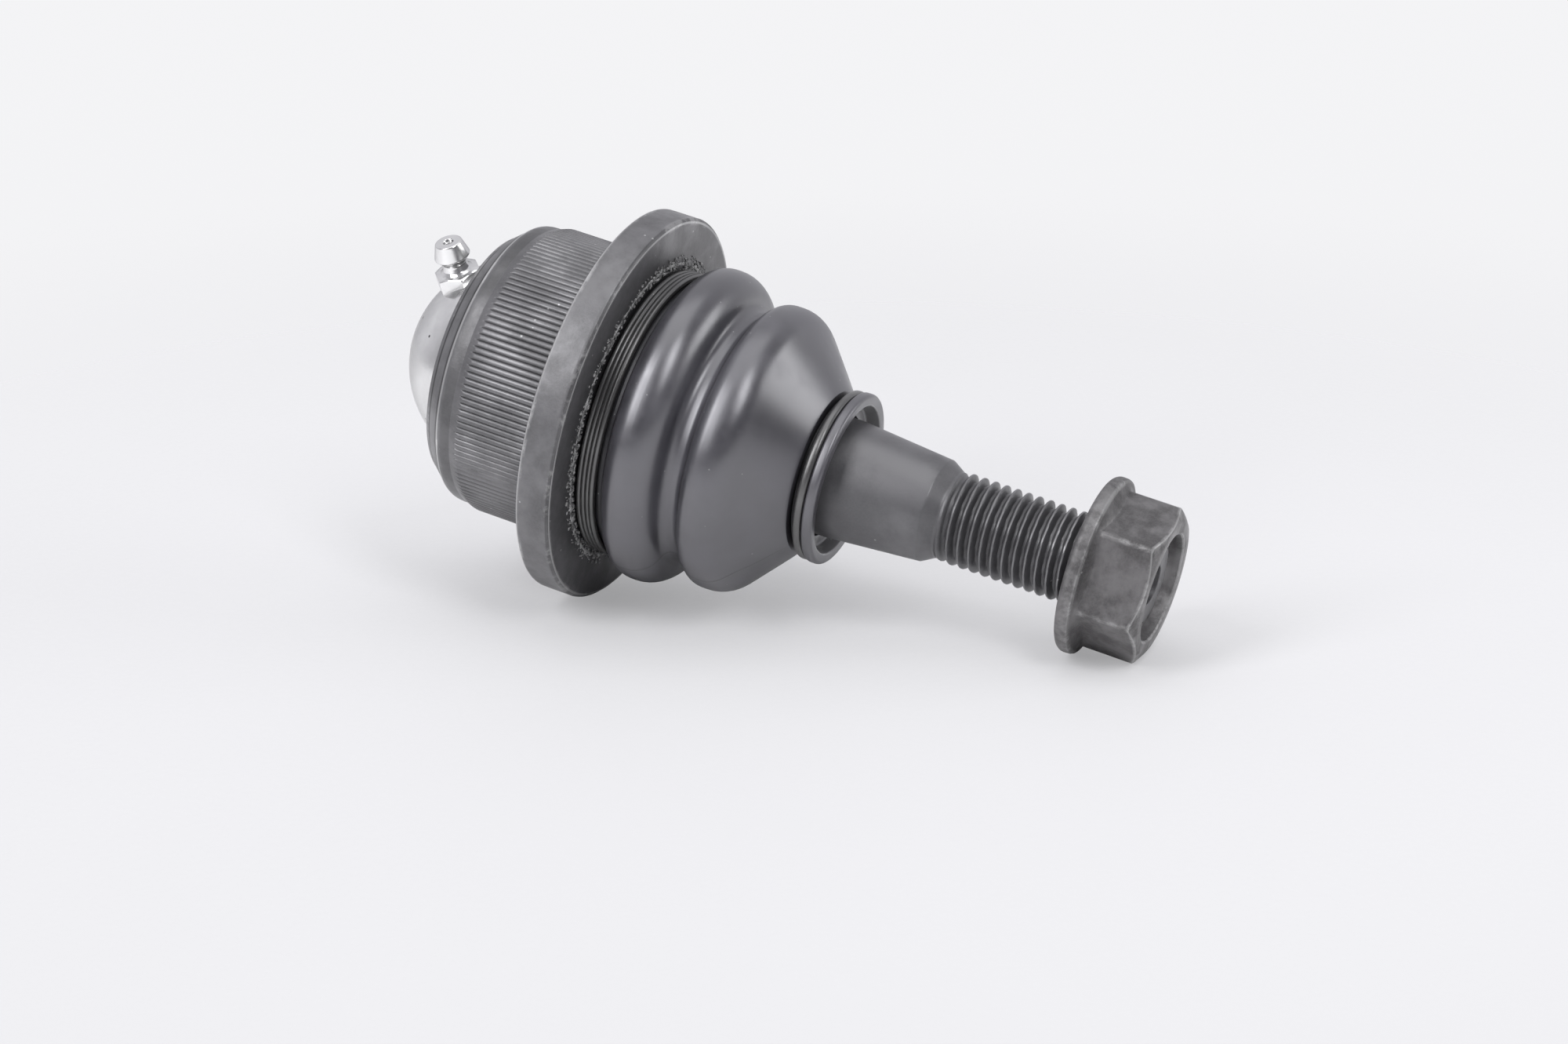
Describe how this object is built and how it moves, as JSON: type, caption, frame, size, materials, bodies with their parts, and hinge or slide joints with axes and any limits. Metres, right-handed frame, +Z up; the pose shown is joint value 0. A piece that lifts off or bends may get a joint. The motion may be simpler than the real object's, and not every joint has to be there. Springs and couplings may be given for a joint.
{
  "type": "suspension ball joint",
  "caption": "Press-in suspension ball joint: serrated flanged housing, folded rubber boot, tapered threaded stud with flange nut and a grease fitting.",
  "frame": {"origin": "centre of the ball, where the housing axis and the stud axis meet", "axes": "+Z up with the joint lying on its flange and a corner of its nut; the stud axis lies in the XZ plane, runs towards +X and falls by 12.35 degrees; +Y is level, across the stud"},
  "size_m": [0.1402, 0.069, 0.0686],
  "materials": {
    "phosphate_steel": "dark manganese phosphate, oiled, worn bright at edges",
    "zinc_plate": "bright zinc plate",
    "bearing_polymer": "moulded low-friction polymer",
    "spring_steel": "plain spring steel",
    "stud_steel": "dark phosphate over turned steel",
    "boot_rubber": "satin black rubber",
    "black_wire": "black coated spring wire",
    "nut_steel": "mottled brown-grey phosphate",
    "bright_zinc": "bright zinc with facets"
  },
  "bodies": {
    "housing": {"housing": "phosphate_steel", "cover_plate": "zinc_plate", "front_bearing": "bearing_polymer", "preload_spring": "spring_steel", "boot_clamp_ring": "black_wire", "grease_fitting": "bright_zinc", "grease_check_spring": "spring_steel"},
    "pressure_seat": {"pressure_seat": "bearing_polymer"},
    "check_ball": {"grease_check_ball": "spring_steel"},
    "boot": {"dust_boot": "boot_rubber"},
    "boot_neck": {"boot_neck_ring": "black_wire"},
    "stud": {"ball_stud": "stud_steel", "flange_nut": "nut_steel"}
  },
  "joints": [
    {"name": "swing_direction", "type": "hinge", "parent": "housing", "child": "boot", "pos_m": [0, 0, 0], "axis": [0.9768, 0, -0.2139], "continuous": true},
    {"name": "stud_swing", "type": "hinge", "parent": "boot", "child": "boot_neck", "pos_m": [0, 0, 0], "axis": [0, 1, 0], "range_deg": [-24, 24], "deforming": ["dust_boot"]},
    {"name": "stud_spin", "type": "hinge", "parent": "boot_neck", "child": "stud", "pos_m": [0, 0, 0], "axis": [0.9768, 0, -0.2139], "continuous": true},
    {"name": "pressure_seat_travel", "type": "slide", "parent": "housing", "child": "pressure_seat", "axis": [-0.9768, 0, 0.2139], "range_m": [0, 0.0004], "stiffness_N_per_m": 50000, "deforming": ["preload_spring"]},
    {"name": "check_ball_travel", "type": "slide", "parent": "housing", "child": "check_ball", "axis": [0.0866, 0.3514, -0.9322], "range_m": [0, 0.0006], "stiffness_N_per_m": 200, "deforming": ["grease_check_spring"]}
  ]
}
